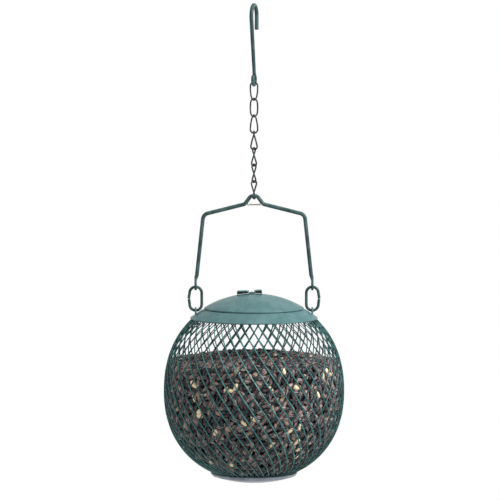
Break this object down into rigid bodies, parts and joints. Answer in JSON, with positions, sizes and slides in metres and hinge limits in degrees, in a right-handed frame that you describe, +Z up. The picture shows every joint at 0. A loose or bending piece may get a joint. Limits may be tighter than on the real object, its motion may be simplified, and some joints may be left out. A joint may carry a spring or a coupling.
{
  "type": "hanging bird feeder",
  "caption": "Ball-shaped expanded-metal mesh seed feeder with a lift-off domed lid, hung by side links, a wire bail, a twisted-link chain and a hook.",
  "frame": {"origin": "inside of the hook's crook at its top, where the feeder rests on a branch, hook arm or pole", "axes": "+Z up along the feeder, +X along the bail from the left side link to the right one, -Y towards the viewer"},
  "size_m": [0.1816, 0.1816, 0.4793],
  "materials": {
    "green_paint": "semi-gloss grey-green enamel, slightly streaked",
    "mesh_paint": "grey-green enamel over expanded metal, edges lit, flanks dark",
    "chain_paint": "dark grey-green coated steel wire",
    "bare_wire": "bare drawn steel wire, brownish grey",
    "dish_paint": "pale grey-blue satin enamel",
    "seed_hull": "dry striped black sunflower hulls with pale broken kernels"
  },
  "bodies": {
    "hook": {"hanging_hook": "green_paint"},
    "chain_link_1": {"chain_link_1": "chain_paint"},
    "chain_link_2": {"chain_link_2": "chain_paint"},
    "chain_link_3": {"chain_link_3": "chain_paint"},
    "chain_link_4": {"chain_link_4": "chain_paint"},
    "chain_link_5": {"chain_link_5": "chain_paint"},
    "chain_link_6": {"chain_link_6": "chain_paint"},
    "chain_link_7": {"chain_link_7": "chain_paint"},
    "bail": {"bail_handle": "green_paint", "bail_crossbar": "bare_wire"},
    "side_link_left": {"side_link_left": "green_paint"},
    "side_link_right": {"side_link_right": "green_paint"},
    "basket": {"top_collar": "green_paint", "hanger_lug_left": "green_paint", "hanger_lug_right": "green_paint", "mesh_clamp_ring": "green_paint", "mesh_basket": "mesh_paint", "base_inner_plate": "dish_paint", "base_dish": "dish_paint", "seed_fill": "seed_hull"},
    "lid": {"lid_dome": "green_paint", "lid_skirt": "green_paint", "lid_grip": "green_paint", "lid_rivet": "chain_paint"}
  },
  "joints": [
    {"name": "link_1_swing", "type": "hinge", "parent": "hook", "child": "chain_link_1", "pos_m": [0, 0, -0.07765], "axis": [0.2419, 0.9703, 0], "range_deg": [-25, 25]},
    {"name": "link_2_swing", "type": "hinge", "parent": "chain_link_1", "child": "chain_link_2", "pos_m": [0, 0, -0.09285], "axis": [0.5, 0.866, 0], "range_deg": [-25, 25]},
    {"name": "link_3_swing", "type": "hinge", "parent": "chain_link_2", "child": "chain_link_3", "pos_m": [0, 0, -0.10925], "axis": [0.7193, 0.6947, 0], "range_deg": [-25, 25]},
    {"name": "link_4_swing", "type": "hinge", "parent": "chain_link_3", "child": "chain_link_4", "pos_m": [0, 0, -0.12565], "axis": [0.9511, 0.309, 0], "range_deg": [-25, 25]},
    {"name": "link_5_swing", "type": "hinge", "parent": "chain_link_4", "child": "chain_link_5", "pos_m": [0, 0, -0.14205], "axis": [0.9659, -0.2588, 0], "range_deg": [-25, 25]},
    {"name": "link_6_swing", "type": "hinge", "parent": "chain_link_5", "child": "chain_link_6", "pos_m": [0, 0, -0.15845], "axis": [0.8192, -0.5736, 0], "range_deg": [-25, 25]},
    {"name": "link_7_swing", "type": "hinge", "parent": "chain_link_6", "child": "chain_link_7", "pos_m": [0, 0, -0.17485], "axis": [0.682, -0.7314, 0], "range_deg": [-25, 25]},
    {"name": "bail_tilt", "type": "hinge", "parent": "chain_link_7", "child": "bail", "pos_m": [0, 0, -0.19125], "axis": [0.515, -0.8572, 0], "range_deg": [-25, 25]},
    {"name": "side_link_left_swing", "type": "hinge", "parent": "bail", "child": "side_link_left", "pos_m": [-0.0584, 0, -0.2794], "axis": [1, 0, 0], "range_deg": [-40, 40]},
    {"name": "side_link_right_swing", "type": "hinge", "parent": "bail", "child": "side_link_right", "pos_m": [0.0584, 0, -0.2794], "axis": [1, 0, 0], "range_deg": [-40, 40]},
    {"name": "basket_swing", "type": "hinge", "parent": "side_link_left", "child": "basket", "pos_m": [-0.0584, 0, -0.3032], "axis": [1, 0, 0], "range_deg": [-50, 50]},
    {"name": "lid_lift", "type": "slide", "parent": "basket", "child": "lid", "axis": [0, 0, 1], "range_m": [0, 0.07]}
  ],
  "couplings": [
    {"joint": "side_link_right_swing", "follows": "side_link_left_swing", "ratio": 1}
  ]
}
